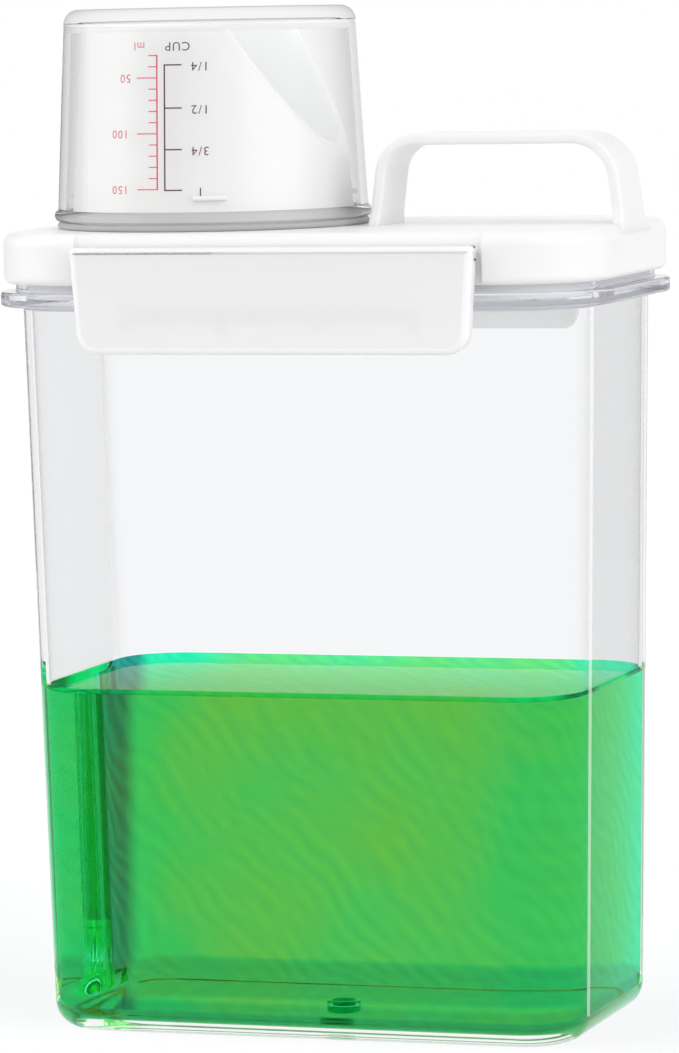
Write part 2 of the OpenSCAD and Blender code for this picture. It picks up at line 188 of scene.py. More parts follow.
# %% [markdown]
# ## Grey cards
# Clear and glossy plastic shows what stands round it. In the photograph the edges of the
# flange and the cup mirror something grey behind the sides. Two upright cards stand there.
# They could be lamps that are turned down, but cards that only a gloss can see keep the
# light on the piece as it is.

# %% Grey cards behind the sides
CARD_AWAY, CARD_UP = 1.0, 0.4
for name, heading, level_of_grey in (("left_card", 148, 0.3), ("right_card", 68, 0.75)):
    card_finish = bpy.data.materials.new(name)
    tree = bare_tree(card_finish)
    grey = add(tree, "ShaderNodeEmission")
    put(grey, Strength=level_of_grey)
    tree.links.new(grey.outputs[0], add(tree, "ShaderNodeOutputMaterial").inputs["Surface"])
    turn = math.radians(heading)
    spot = Vector((math.cos(turn) * CARD_AWAY, math.sin(turn) * CARD_AWAY, CARD_UP))
    bpy.ops.mesh.primitive_plane_add(size=1.0, location=spot, rotation=(math.pi / 2, 0, turn + math.pi / 2))
    card = bpy.context.object
    card.name = name
    card.data.materials.append(card_finish)
    card.visible_camera = card.visible_diffuse = False
    card.visible_transmission = card.visible_shadow = False
scene.cycles.max_bounces = 28
scene.cycles.transmission_bounces = 28
scene.cycles.glossy_bounces = 12
print("light may pass", scene.cycles.transmission_bounces, "clear faces")

# %% [markdown]
# ## Shared finish: the surface that a mould leaves
# Every plastic piece here was injection moulded, so each shows the same two things: slow
# waves where the wall shrank as it cooled, and a fine grain from the mould's steel. One
# node group makes both from the piece's own Object coordinates. The clear, white and soft
# finishes place it with their own strengths, which is less work than three sets of noise
# nodes and keeps the scale of the grain the same.

# %% Node group: moulded surface
moulded = bpy.data.node_groups.new("moulded_surface", "ShaderNodeTree")
face = moulded.interface
face.new_socket("Vector", in_out="INPUT", socket_type="NodeSocketVector")
for name in ("Wave Size", "Grain Size", "Grain Share"):
    face.new_socket(name, in_out="INPUT", socket_type="NodeSocketFloat")
for name in ("Height", "Patch"):
    face.new_socket(name, in_out="OUTPUT", socket_type="NodeSocketFloat")
given = add(moulded, "NodeGroupInput").outputs
taken = add(moulded, "NodeGroupOutput").inputs
noises = []
for size, detail in (("Wave Size", 1.0), ("Grain Size", 3.0)):
    noise = add(moulded, "ShaderNodeTexNoise", noise_dimensions="3D")
    put(noise, Detail=detail)
    moulded.links.new(given["Vector"], noise.inputs["Vector"])
    moulded.links.new(given[size], noise.inputs["Scale"])
    noises.append(noise.outputs["Fac"])
waves, grain = noises
uneven = reckon(moulded, "MULTIPLY_ADD", grain, given["Grain Share"], waves)
moulded.links.new(uneven, taken["Height"])
moulded.links.new(waves, taken["Patch"])
print("node group", moulded.name, "with", len(moulded.nodes), "nodes")

# %% Placing the group in a finish
def new_finish(name, wave, grain_size, share, bump, distance):
    """A material with the moulded surface's bump, and its tree, shader and patches."""
    finish = bpy.data.materials.new(name)
    finish.use_nodes = True
    tree = finish.node_tree
    shader = tree.nodes["Principled BSDF"]
    surface = add(tree, "ShaderNodeGroup", node_tree=moulded)
    tree.links.new(add(tree, "ShaderNodeTexCoord").outputs["Object"], surface.inputs["Vector"])
    put(surface, Wave_Size=wave, Grain_Size=grain_size, Grain_Share=share)
    relief = add(tree, "ShaderNodeBump")
    put(relief, Strength=bump, Distance=distance)
    tree.links.new(surface.outputs["Height"], relief.inputs["Height"])
    tree.links.new(relief.outputs["Normal"], shader.inputs["Normal"])
    return finish, tree, shader, surface.outputs["Patch"]


def colour_and_gloss(tree, shader, patch, colour, rough):
    """Gives the shader its colour, and a roughness that drifts with the patches."""
    tree.links.new(colour, shader.inputs["Base Color"])
    span = add(tree, "ShaderNodeMapRange")
    tree.links.new(patch, span.inputs["Value"])
    put(span, From_Min=0.3, From_Max=0.7, To_Min=rough[0], To_Max=rough[1])
    tree.links.new(span.outputs["Result"], shader.inputs["Roughness"])

# %% [markdown]
# ## Clear plastic
# The container and the cup are clear, slightly grey plastic. A clear piece on white would
# vanish if it only bent light. Real plastic also swallows a little light along its way, so
# a wall stays bright where it is looked through and turns grey where it is looked along.
# An absorbing volume could do that, but the container would then need one finish for all
# its faces. Here each finish is tinted by how steeply it is looked through, and zones of
# one piece can differ: the wall, its corners, the flange and its step, the wall before the
# liquid, and the cup's wall, rim and base. An index near 1 makes a face a tinted film. The
# corners and the wet wall need that, because a thin round wall would act as a lens.

# %% Clear plastic
def clear_finish(name, through, along, power, index, rough=(0.0, 0.025), clear=1.0):
    """Clear plastic, tinted from a pair of drifting colours to one where it is looked along."""
    finish, tree, shader, patch = new_finish(name, 26.0, 900.0, 0.01, 0.06, 0.0006)
    put(shader, Transmission_Weight=clear, IOR=index, Specular_Tint=(0.35, 0.35, 0.35, 1))
    slope = add(tree, "ShaderNodeLayerWeight")
    put(slope, Blend=0.5)
    steep = reckon(tree, "POWER", slope.outputs["Facing"], power)
    tint = mix(tree, steep, mix(tree, patch, *through), along)
    colour_and_gloss(tree, shader, patch, tint, rough)
    return finish


dry_tints = ((0.92, 0.92, 0.922), (0.94, 0.94, 0.942))
wet_tints = ((0.97, 0.98, 0.97), (0.98, 0.99, 0.98))
bright_tints = ((0.985, 0.985, 0.985), (0.995, 0.995, 0.995))
corner_tints = ((0.95, 0.95, 0.952), (0.96, 0.96, 0.962))
flange_tints = ((0.86, 0.86, 0.9), (0.89, 0.89, 0.93))
step_tints = ((0.84, 0.84, 0.9), (0.88, 0.88, 0.94))
under_tints = ((0.7, 0.71, 0.8), (0.76, 0.77, 0.85))
plate_tints = ((0.91, 0.91, 0.912), (0.925, 0.925, 0.927))
bead_tints = ((0.52, 0.52, 0.52), (0.57, 0.57, 0.57))
rim_painted_shade_tints = ((0.3, 0.3, 0.29), (0.36, 0.36, 0.35))
WET_EDGE, FLANGE_EDGE = (0.45, 0.47, 0.45), (0.6, 0.6, 0.7)
FROSTED = (0.55, 0.65)

# %% Finishes of the container
clear_wall = clear_finish("clear_wall", dry_tints, (0.75, 0.75, 0.77), 3.0, 1.3)
clear_corner = clear_finish("clear_wall_corner", corner_tints, (0.15, 0.15, 0.155), 4.0, 1.05)
wet_outside = clear_finish("clear_wall_before_liquid", wet_tints, WET_EDGE, 4.0, 1.05)
wet_corner = clear_finish("clear_corner_before_liquid", wet_tints, WET_EDGE, 4.0, 1.1)
wet_inside = clear_finish("clear_wall_wetted", bright_tints, (0.99, 0.99, 0.99), 1.8, 1.0)
# Painted highlight: a pale finish that is only partly clear, for the strip where a corner turns.
corner_painted_highlight = clear_finish("clear_corner_painted_highlight", bright_tints, (0.9, 0.9, 0.9), 3.0, 1.05, clear=0.6)
clear_flange = clear_finish("clear_flange", flange_tints, (0.35, 0.35, 0.42), 2.0, 1.3)
flange_step = clear_finish("clear_flange_step", step_tints, FLANGE_EDGE, 3.0, 1.0)
flange_under = clear_finish("clear_flange_under", under_tints, FLANGE_EDGE, 3.0, 1.3, FROSTED)
print("container finishes:", sum(finish.name.startswith("clear") for finish in bpy.data.materials))

# %% Finishes of the cup
clear_cup = clear_finish("clear_cup_wall", bright_tints, (0.38, 0.38, 0.37), 2.0, 1.25)
cup_plate = clear_finish("clear_cup_plate", plate_tints, (0.5, 0.5, 0.5), 3.0, 1.0)
clear_bead = clear_finish("clear_cup_rim", bead_tints, (0.2, 0.2, 0.2), 1.6, 1.35)
# Painted shade: the rim's lower edge is tinted much darker than the rest of the rim.
bead_painted_shade = clear_finish("clear_cup_rim_painted_shade", rim_painted_shade_tints, (0.1, 0.1, 0.1), 1.4, 1.35)
print("cup finishes:", [finish.name for finish in (clear_cup, cup_plate, clear_bead, bead_painted_shade)])

# %% [markdown]
# ## Green detergent
# The detergent is a clear green liquid. It swallows red and blue along its way, which one
# absorbing volume does for the whole depth. Its surface adds what the depth alone can't
# show: slow, slanting streaks of lighter and darker green, bluer ends, and a band along the
# floor that is bluer and painted darker, painted shade. Light that leaves by a far corner was
# bent away from the white behind it, so these corners are painted dark where they are looked
# at through the liquid, painted shade. They could be modelled as a true lens, but the little
# light that comes round there is slow to gather and stays noisy.

# %% Streaks and places
def ramp(value, start, end, share):
    """A smooth step from 0 where the value is at its start to a share at its end."""
    step = add(tree, "ShaderNodeMapRange", interpolation_type="SMOOTHSTEP")
    tree.links.new(value, step.inputs["Value"])
    put(step, From_Min=start, From_Max=end, To_Max=share)
    return step.outputs["Result"]


green_liquid, tree, shader, patch = new_finish("green_liquid", 34.0, 160.0, 0.05, 0.05, 0.0008)
put(shader, Transmission_Weight=1.0, IOR=1.04)
place = add(tree, "ShaderNodeTexCoord").outputs["Object"]
waves = add(tree, "ShaderNodeTexWave", wave_type="BANDS", bands_direction="DIAGONAL")
put(waves, Scale=95.0, Distortion=16.0, Detail=2.0, Detail_Scale=0.35)
tree.links.new(place, waves.inputs["Vector"])
streaks = waves.outputs["Fac"]
split = add(tree, "ShaderNodeSeparateXYZ")
tree.links.new(place, split.inputs[0])
height = split.outputs["Z"]
aside = reckon(tree, "ABSOLUTE", split.outputs["X"])
across = reckon(tree, "ABSOLUTE", split.outputs["Y"])
print("liquid has", len(tree.nodes), "nodes for its places")

# %% Colour of the liquid
FLOOR_BAND = (0.0095, 0.0075)
# The last colour is the dark green used for painted shade.
OLIVE, EMERALD, PAINTED_SHADE_GREEN = (0.24, 0.84, 0.1), (0.03, 0.98, 0.52), (0.02, 0.1, 0.16)
ends = ramp(aside, 0.035, 0.065, 0.65)
deep = ramp(height, *FLOOR_BAND, 0.8)
bluer = reckon(tree, "ADD", patch, reckon(tree, "ADD", ends, deep), clamp=True)
hue = reckon(tree, "MULTIPLY_ADD", streaks, 0.1, bluer)
# Painted shade: the far corners, seen from inside the liquid, and the band along the floor are mixed
# towards the dark green.
corner = reckon(tree, "MULTIPLY", ramp(aside, 0.060, 0.0635, 1.0), ramp(across, 0.008, 0.017, 0.92))
leaving = add(tree, "ShaderNodeNewGeometry").outputs["Backfacing"]
painted_far_corner_shade = reckon(tree, "MULTIPLY", corner, leaving)
painted_shade_share = reckon(tree, "MAXIMUM", painted_far_corner_shade, ramp(height, *FLOOR_BAND, 0.4))
shade = reckon(tree, "MULTIPLY_ADD", streaks, 0.09, painted_shade_share, clamp=True)
tone = mix(tree, shade, mix(tree, hue, OLIVE, EMERALD), PAINTED_SHADE_GREEN)
colour_and_gloss(tree, shader, patch, tone, (0.0, 0.02))
depth = add(tree, "ShaderNodeVolumeAbsorption")
put(depth, Color=(0.9, 0.635, 0.05, 1), Density=20.0)
tree.links.new(depth.outputs[0], tree.nodes["Material Output"].inputs["Volume"])
print("liquid has", len(tree.nodes), "nodes")

# %% [markdown]
# ## White plastic, silicone and inks
# The lid, the spout, the handle and the latches are white plastic with a satin grain. Thin
# white plastic lets some light in and out again nearby, so each white finish has its own
# share of subsurface light: most in the spout's throat and behind the latches, little on the
# outside. The throat and the latches' backs are also painted a brighter white, painted light
# against their shade, and the outside of the spout, the handle and the latches' fronts are
# painted a darker white than the lid, painted shade. The latches' rounded rims are polished
# and painted brighter, a painted highlight. The rings are grey silicone, and the scales are
# printed in two inks.

# %% White plastic, silicone and inks
def solid_finish(name, low, high, rough, surface, glow=0.0, reach=0.004):
    """An opaque finish with drifting colour and gloss, into which light may enter."""
    finish, tree, shader, patch = new_finish(name, *surface)
    colour_and_gloss(tree, shader, patch, mix(tree, patch, low, high), rough)
    put(shader, Subsurface_Weight=glow, Subsurface_Radius=(reach, reach, reach), Subsurface_Scale=1.0)
    return finish


SATIN = (30.0, 2600.0, 0.35, 0.12, 0.0002)
POLISHED = (30.0, 2600.0, 0.1, 0.05, 0.0002)
RUBBERY = (60.0, 3000.0, 0.5, 0.2, 0.0002)
PRINTED = (700.0, 3000.0, 0.4, 0.1, 0.00005)
SHEEN = (0.3, 0.42)
BRIGHT_PAINTED_WHITE = ((0.95, 0.95, 0.95), (0.965, 0.965, 0.965))
# Painted shade: the outside of the spout is a darker white than the lid; painted light: its throat is a
# brighter white with more subsurface light.
white_spout_painted_shade = solid_finish("white_thin", (0.82, 0.82, 0.81), (0.845, 0.845, 0.835), SHEEN, SATIN, 0.3)
white_throat_painted_light = solid_finish("white_thin_inside_painted_light", (0.96, 0.96, 0.955), (0.97, 0.97, 0.965), SHEEN,
                            SATIN, 0.9, 0.01)
white_lid = solid_finish("white_satin", (0.905, 0.905, 0.895), (0.93, 0.93, 0.92), SHEEN, SATIN, 0.25)
# Painted shade: the handle is a darker white than the lid.
white_handle_painted_shade = solid_finish("white_satin_handle_painted_shade", (0.86, 0.86, 0.85), (0.885, 0.885, 0.875), SHEEN,
                            SATIN, 0.25)
# One white in three: painted shade on the latch's front, a painted highlight on its rim and painted light
# on its back.
white_latch = solid_finish("white_latch_satin_painted_shade", (0.85, 0.846, 0.85), (0.875, 0.87, 0.875), (0.34, 0.46),
                           SATIN, 0.25)
white_rim_painted_highlight = solid_finish("white_latch_rim_painted_highlight", *BRIGHT_PAINTED_WHITE, (0.12, 0.2), POLISHED, 0.25)
white_back_painted_light = solid_finish("white_latch_back_painted_light", *BRIGHT_PAINTED_WHITE, SHEEN, POLISHED, 1.0, 0.012)
silicone = solid_finish("soft_silicone", (0.4, 0.405, 0.41), (0.47, 0.475, 0.48), (0.42, 0.6), RUBBERY)
red_ink = solid_finish("red_ink", (0.62, 0.07, 0.13), (0.74, 0.16, 0.22), (0.45, 0.6), PRINTED)
dark_ink = solid_finish("dark_ink", (0.05, 0.012, 0.02), (0.13, 0.03, 0.05), (0.45, 0.6), PRINTED)
print("finishes:", len(bpy.data.materials))

# %% [markdown]
# ## Drawing a section
# Most of these pieces are one section carried along a path: round the four corners of the
# container, or round the axis of the cup. A section is drawn here as by hand. It starts as
# one vertex, straight lines are extruded from it, arcs are spun, and sharp corners are
# rounded with a vertex bevel afterwards. The pen works in an upright plane: r is the way
# out from the foot point and z is the height.

# %% The pen
pen = {}


def let_go():
    """Leaves edit mode with nothing selected."""
    if bpy.context.mode != "OBJECT":
        bpy.ops.object.mode_set(mode="OBJECT")
    bpy.ops.object.select_all(action="DESELECT")


def pen_down(name, foot, r, z, out=(1, 0)):
    """Starts a section as one vertex in edit mode, r outwards from the foot point and z up."""
    let_go()
    pen.update(foot=Vector((*foot, 0)), out=Vector((*out, 0)), r=r, z=z)
    start = pen["foot"] + pen["out"] * r + Vector((0, 0, z))
    bpy.ops.mesh.primitive_plane_add(size=MM, location=start * MM)
    piece = bpy.context.object
    piece.name = piece.data.name = name
    bpy.ops.object.transform_apply()
    bpy.ops.object.mode_set(mode="EDIT")
    bpy.ops.mesh.select_mode(type="VERT")
    bpy.ops.mesh.select_all(action="SELECT")
    bpy.ops.mesh.merge(type="CENTER")
    return piece


def pen_line(*stops):
    """Extrudes the pen's vertex to each stop in turn."""
    for r, z in stops:
        step = pen["out"] * (r - pen["r"]) + Vector((0, 0, z - pen["z"]))
        bpy.ops.mesh.extrude_region_move(TRANSFORM_OT_translate={"value": step * MM})
        pen.update(r=r, z=z)


def pen_arc(r, z, degrees, steps):
    """Spins the pen's vertex about the point r, z, from out towards up."""
    middle = pen["foot"] + pen["out"] * r + Vector((0, 0, z))
    axis = (-pen["out"].y, pen["out"].x, 0)
    bpy.ops.mesh.spin(steps=steps, angle=math.radians(degrees), center=middle * MM, axis=axis)
    c, s = math.cos(math.radians(degrees)), math.sin(math.radians(degrees))
    dr, dz = pen["r"] - r, pen["z"] - z
    pen.update(r=r + c * dr - s * dz, z=z + s * dr + c * dz)

# %% Selecting by place
def pick(test, kind="VERT", along=None, open_only=False):
    """Selects what lies, with all its vertices, where the test on millimetres is true."""
    bpy.ops.mesh.select_mode(type=kind)
    bpy.ops.mesh.select_all(action="DESELECT")
    data = bpy.context.object.data
    mesh = bmesh.from_edit_mesh(data)
    things = {"VERT": mesh.verts, "EDGE": mesh.edges, "FACE": mesh.faces}[kind]
    count = 0
    for thing in things:
        ends = [thing] if kind == "VERT" else thing.verts
        if not all(test(v.co / MM) for v in ends):
            continue
        if along is not None and abs((ends[1].co - ends[0].co).normalized()[along]) < 0.9:
            continue
        if open_only and len(thing.link_faces) != 1:
            continue
        thing.select_set(True)
        count += 1
    mesh.select_flush_mode()
    bmesh.update_edit_mesh(data)
    return count


def soften(r, z, radius, segments=6):
    """Rounds the drawn corner at r, z to a radius."""
    spot = pen["foot"] + pen["out"] * r + Vector((0, 0, z))
    pick(lambda p: (p - spot).length < 0.03)
    mesh = bmesh.from_edit_mesh(bpy.context.object.data)
    corner = [v for v in mesh.verts if v.select][0]
    one, two = [edge.other_vert(corner).co - corner.co for edge in corner.link_edges]
    reach = radius / math.tan(one.angle(two) / 2)
    bpy.ops.mesh.bevel(offset=reach * MM, segments=segments, affect="VERTICES", clamp_overlap=False)

# %% Carrying a section round
CORNER = (50.5, 22.5)
START = (CORNER[0], -CORNER[1])


def close_up():
    """Merges what meets and turns the faces outwards."""
    bpy.ops.mesh.select_all(action="SELECT")
    bpy.ops.mesh.remove_doubles(threshold=0.002 * MM)
    bpy.ops.mesh.normals_make_consistent(inside=False)


def carry_round(steps=20):
    """Carries the section along the four sides and round the four corners."""
    x, y = CORNER
    sides = ((x, y, 0, 2 * y), (-x, y, -2 * x, 0), (-x, -y, 0, -2 * y), (x, -y, 2 * x, 0))
    bpy.ops.mesh.select_all(action="SELECT")
    for corner_x, corner_y, run_x, run_y in sides:
        bpy.ops.mesh.extrude_region_move(TRANSFORM_OT_translate={"value": (run_x * MM, run_y * MM, 0)})
        bpy.ops.mesh.spin(steps=steps, angle=-math.pi / 2, center=(corner_x * MM, corner_y * MM, 0),
                          axis=(0, 0, 1))
    close_up()


def turn_round(axis_x, steps=128):
    """Turns the section once round an upright axis."""
    bpy.ops.mesh.select_all(action="SELECT")
    bpy.ops.mesh.spin(steps=steps, angle=2 * math.pi, center=(axis_x * MM, 0, 0), axis=(0, 0, 1))
    close_up()


def cap(z):
    """Closes the open loop at a height with one flat face."""
    pick(lambda p: abs(p.z - z) < 0.01, "EDGE", open_only=True)
    bpy.ops.mesh.edge_face_add()
    close_up()

# %% Finishing a piece
def alone(piece):
    """Leaves just this piece selected and active, in object mode."""
    let_go()
    piece.select_set(True)
    bpy.context.view_layer.objects.active = piece


def extrude_all(length):
    """Fills the drawn outline with one face and extrudes it along X."""
    bpy.ops.mesh.select_all(action="SELECT")
    bpy.ops.mesh.edge_face_add()
    bpy.ops.mesh.extrude_region_move(TRANSFORM_OT_translate={"value": (length * MM, 0, 0)})
    close_up()


def measure(piece):
    """Prints how many faces a piece has, how many edges are open and what it displaces."""
    alone(piece)
    mesh = bmesh.new()
    mesh.from_mesh(piece.data)
    gaps = sum(len(edge.link_faces) != 2 for edge in mesh.edges)
    print(f"{piece.name}: {len(mesh.faces)} faces, {gaps} open edges, {mesh.calc_volume() * 1e6:.2f} ml")
    mesh.free()


def combine(piece, tool, kind="DIFFERENCE"):
    """Cuts a tool out of a piece, or adds it, and removes the tool."""
    alone(piece)
    step = piece.modifiers.new("combine", "BOOLEAN")
    step.operation = kind
    step.object = tool
    step.solver = "EXACT"
    bpy.ops.object.modifier_apply(modifier=step.name)
    bpy.data.objects.remove(tool)


def finish_piece(piece, material, body, angle=32):
    """Smooth rounds beside flat faces, then the finish and the body that carries it."""
    alone(piece)
    bpy.ops.object.shade_smooth_by_angle(angle=math.radians(angle))
    flats = piece.modifiers.new("flat faces stay flat", "WEIGHTED_NORMAL")
    flats.keep_sharp = True
    bpy.ops.object.modifier_apply(modifier=flats.name)
    piece.data.materials.clear()
    piece.data.materials.append(material)
    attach(piece, body)
    measure(piece)


def dress(piece, *zones):
    """Gives further finishes to the faces that lie in a zone, each as (finish, test)."""
    alone(piece)
    for finish, zone in zones:
        if finish.name not in piece.data.materials:
            piece.data.materials.append(finish)
        bpy.ops.object.mode_set(mode="EDIT")
        faces = pick(zone, "FACE")
        piece.active_material_index = piece.data.materials.find(finish.name)
        bpy.ops.object.material_slot_assign()
        bpy.ops.object.mode_set(mode="OBJECT")
        print(finish.name, "on", faces, "faces")

# %% [markdown]
# ## The container
# The container is one clear moulding: drafted walls, a flange that the latches hook
# under, a neck, a thick floor with a round edge inside and out, and a shallow hollow
# under the base. A cube with bevels would give the outside, but the wall's thickness is
# what shows in clear plastic. So the whole wall is drawn as one section, from the floor up
# the inside, over the neck, and down the outside to the foot, and carried round.

# %% Container section
WALL, DRAFT = 2, math.tan(math.radians(1.26))
BODY_R, NECK_IN, NECK_OUT, FLANGE_OUT = 18.5, 17.9, 20.1, 23.7
FOOT_IN, CAP_R = 4.24, 4.0
HOLLOW_Z, FLOOR_Z, FLANGE_Z, STEP_Z, FLANGE_TOP, NECK_TOP = 0.8, 3.5, 171, 172.4, 174.4, 183.2
LEVEL, CLIMB = 80.5, 1.3
WET_TOP = LEVEL + CLIMB


def wall_r(z):
    """The outer corner's radius at a height."""
    return BODY_R - (FLANGE_Z - z) * DRAFT


container = pen_down("container_shell", START, CAP_R, FLOOR_Z)
pen_line((wall_r(FLOOR_Z) - WALL, FLOOR_Z), (wall_r(WET_TOP) - WALL, WET_TOP), (BODY_R - WALL, FLANGE_Z),
         (NECK_IN, STEP_Z), (NECK_IN, NECK_TOP), (NECK_OUT, NECK_TOP), (NECK_OUT, FLANGE_TOP),
         (FLANGE_OUT, FLANGE_TOP), (FLANGE_OUT, FLANGE_Z), (BODY_R, FLANGE_Z),
         (wall_r(WET_TOP), WET_TOP), (wall_r(0), 0), (FOOT_IN, 0), (FOOT_IN, HOLLOW_Z), (3.0, HOLLOW_Z))
soften(wall_r(FLOOR_Z) - WALL, FLOOR_Z, 5.0, 10)
soften(wall_r(0), 0, 6.5, 12)
for r, z, radius in ((NECK_IN, NECK_TOP, 0.6), (NECK_OUT, NECK_TOP, 0.6), (NECK_OUT, FLANGE_TOP, 0.6),
                     (FLANGE_OUT, FLANGE_TOP, 0.7), (FLANGE_OUT, FLANGE_Z, 0.7), (BODY_R, FLANGE_Z, 0.9),
                     (FOOT_IN, 0, 0.3), (FOOT_IN, HOLLOW_Z, 0.3)):
    soften(r, z, radius, 5)
carry_round(24)
cap(FLOOR_Z)
cap(HOLLOW_Z)
measure(container)

# %% [markdown]
# ## Marks of the mould
# Plastic enters the mould under the middle of the base and leaves a round gate mark there,
# a shallow groove. Above it, on the floor inside, stands a low ring, which shows as a small
# oval through the liquid. Both are turned from small sections. The groove is cut out and
# the ring is added with booleans, so that the container stays one closed skin.

# %% Gate mark under the base
GATE_IN, GATE_OUT, GATE_Z = 2.2, 3.8, 1.3
gate = pen_down("gate_cutter", (0, 0), GATE_IN, 0.5)
pen_line((GATE_IN, GATE_Z), (GATE_OUT, GATE_Z), (GATE_OUT, 0.5), (GATE_IN, 0.5))
soften(GATE_IN, GATE_Z, 0.4, 4)
soften(GATE_OUT, GATE_Z, 0.4, 4)
turn_round(0, 48)
combine(container, gate)
measure(container)

# %% Moulded ring on the floor
RING_IN, RING_OUT, RING_LOW, RING_Z = 3.0, 4.0, 3.2, 4.7


def floor_ring(name, spare):
    """A low upright ring in the middle of the floor, a little larger where it is a cutter."""
    ring = pen_down(name, (0, 0), RING_IN - spare, RING_LOW)
    corners = (RING_IN - spare, RING_Z + spare), (RING_OUT + spare, RING_Z + spare)
    pen_line(*corners, (RING_OUT + spare, RING_LOW), (RING_IN - spare, RING_LOW))
    for corner in corners:
        soften(*corner, 0.3, 4)
    turn_round(0, 48)
    return ring


combine(container, floor_ring("floor_ring", 0), "UNION")
finish_piece(container, clear_wall, "pack")
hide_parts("container")
container.visible_shadow = container.visible_diffuse = False

# %% [markdown]
# ## Zones of the clear wall
# A clear wall looks different where liquid stands behind it, where it is bent round a
# corner, and where it thickens to the flange. Each zone gets its own clear finish: the
# wetted faces are films, so that the liquid alone bends the light, the dry corners are grey
# along their edges, and the flange is greyer and a little blue. Where a corner begins to
# turn from an end, a strip gets a pale, partly opaque finish, a painted highlight that draws
# one pale line from the flange to the base.
# The step under the neck would throw the liquid's green up into the flange like a prism, so
# it is a film too. Light falls through the container, so it throws no shadow.

# %% Zones of the container
def out_r(p):
    """How far a point lies outside the rectangle of the corner middles."""
    return math.hypot(max(abs(p.x) - CORNER[0], 0), max(abs(p.y) - CORNER[1], 0))


def in_corner(p):
    """Whether a point lies on one of the four rounded corners."""
    return abs(p.x) > CORNER[0] - 0.01 and abs(p.y) > CORNER[1] - 0.01


def on_shell(p, top):
    """Whether a point lies on the outside of the wall, between the base's round edge and a height."""
    return 6.3 < p.z < top and out_r(p) > wall_r(p.z) - 1


def corner_start(p, facing):
    """Whether a point lies on the outside where a corner begins to turn from an end."""
    turned = p.y * facing - CORNER[1]
    return on_shell(p, FLANGE_Z - 0.8) and abs(p.x) > 60 and -0.01 < turned < 2.5


dress(container,
      (wet_inside, lambda p: 3.45 < p.z < WET_TOP + 0.01 and 6 < out_r(p) < wall_r(p.z) - 1),
      (wet_inside, lambda p: 3.45 < p.z < 5 and math.hypot(p.x, p.y) < 4.2),
      (wet_outside, lambda p: on_shell(p, WET_TOP + 0.01)),
      (wet_corner, lambda p: on_shell(p, WET_TOP + 0.01) and in_corner(p)),
      (clear_corner, lambda p: WET_TOP - 0.01 < p.z < FLANGE_Z + 0.1 and in_corner(p)),
      # Painted highlight: the pale strip where each corner begins to turn.
      (corner_painted_highlight, lambda p: corner_start(p, -1)),
      (corner_painted_highlight, lambda p: corner_start(p, 1)),
      (flange_step, lambda p: FLANGE_Z - 0.1 < p.z < STEP_Z + 0.1 and out_r(p) < 18),
      (clear_flange, lambda p: p.z > FLANGE_Z - 1.1 and out_r(p) > 17.5),
      (flange_under, lambda p: FLANGE_Z - 1 < p.z < FLANGE_Z + 0.2 and out_r(p) > 18.0))

# %% [markdown]
# ## The detergent
# The liquid fills the container to a little under half. Its sides follow the wall, and
# where its surface meets the wall it climbs by about a millimetre. That small curve is
# what draws the bright and dark line along the top of a liquid, so it is drawn into the
# section before the section is carried round.

# %% Detergent section
LOW_Z, CLEAR = 3.6, 0.1
low_r, rim_r = wall_r(LOW_Z) - WALL - CLEAR, wall_r(WET_TOP) - WALL - CLEAR
detergent = pen_down("detergent_fill", START, CAP_R, LOW_Z)
pen_line((low_r, LOW_Z), (rim_r, WET_TOP), (rim_r - 0.25, LEVEL), (CAP_R, LEVEL))
soften(low_r, LOW_Z, 4.9, 10)
soften(rim_r - 0.25, LEVEL, 1.15, 6)
carry_round(24)
cap(LOW_Z)
cap(LEVEL)
combine(detergent, floor_ring("ring_cutter", CLEAR))
finish_piece(detergent, green_liquid, "pack")
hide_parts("detergent")
detergent.visible_diffuse = False

# %% [markdown]
# ## The lid
# The lid is a white moulding: a flat top with a round edge, a skirt with a rolled lower
# lip, and a plug wall that enters the neck. Its section is drawn and carried round like
# the container's. The recesses in which the latches sit, and the hole under the spout, are
# cut afterwards with boolean modifiers, because they break the section only in places.

# %% Lid section
LID_OUT, SKIRT_IN, PLUG_OUT, PLUG_IN, LID_CAP_R = 22.9, 20.8, 17.3, 15.3, 5.0
LID_TOP, PLATE_Z, SKIRT_Z, PLUG_Z = 188.2, 185.7, 176.2, 172.7
lid = pen_down("lid_shell", START, LID_CAP_R, LID_TOP)
pen_line((LID_OUT, LID_TOP), (LID_OUT, SKIRT_Z), (SKIRT_IN, SKIRT_Z), (SKIRT_IN, PLATE_Z),
         (PLUG_OUT, PLATE_Z), (PLUG_OUT, PLUG_Z), (PLUG_IN, PLUG_Z), (PLUG_IN, PLATE_Z),
         (LID_CAP_R, PLATE_Z))
soften(LID_OUT, LID_TOP, 3.0, 10)
soften(LID_OUT, SKIRT_Z, 1.85, 8)
for r, z, radius in ((SKIRT_IN, PLATE_Z, 0.3), (PLUG_OUT, PLATE_Z, 0.3), (PLUG_OUT, PLUG_Z, 0.6),
                     (PLUG_IN, PLUG_Z, 0.6), (PLUG_IN, PLATE_Z, 0.5)):
    soften(r, z, radius, 3)
carry_round(24)
cap(LID_TOP)
cap(PLATE_Z)
measure(lid)

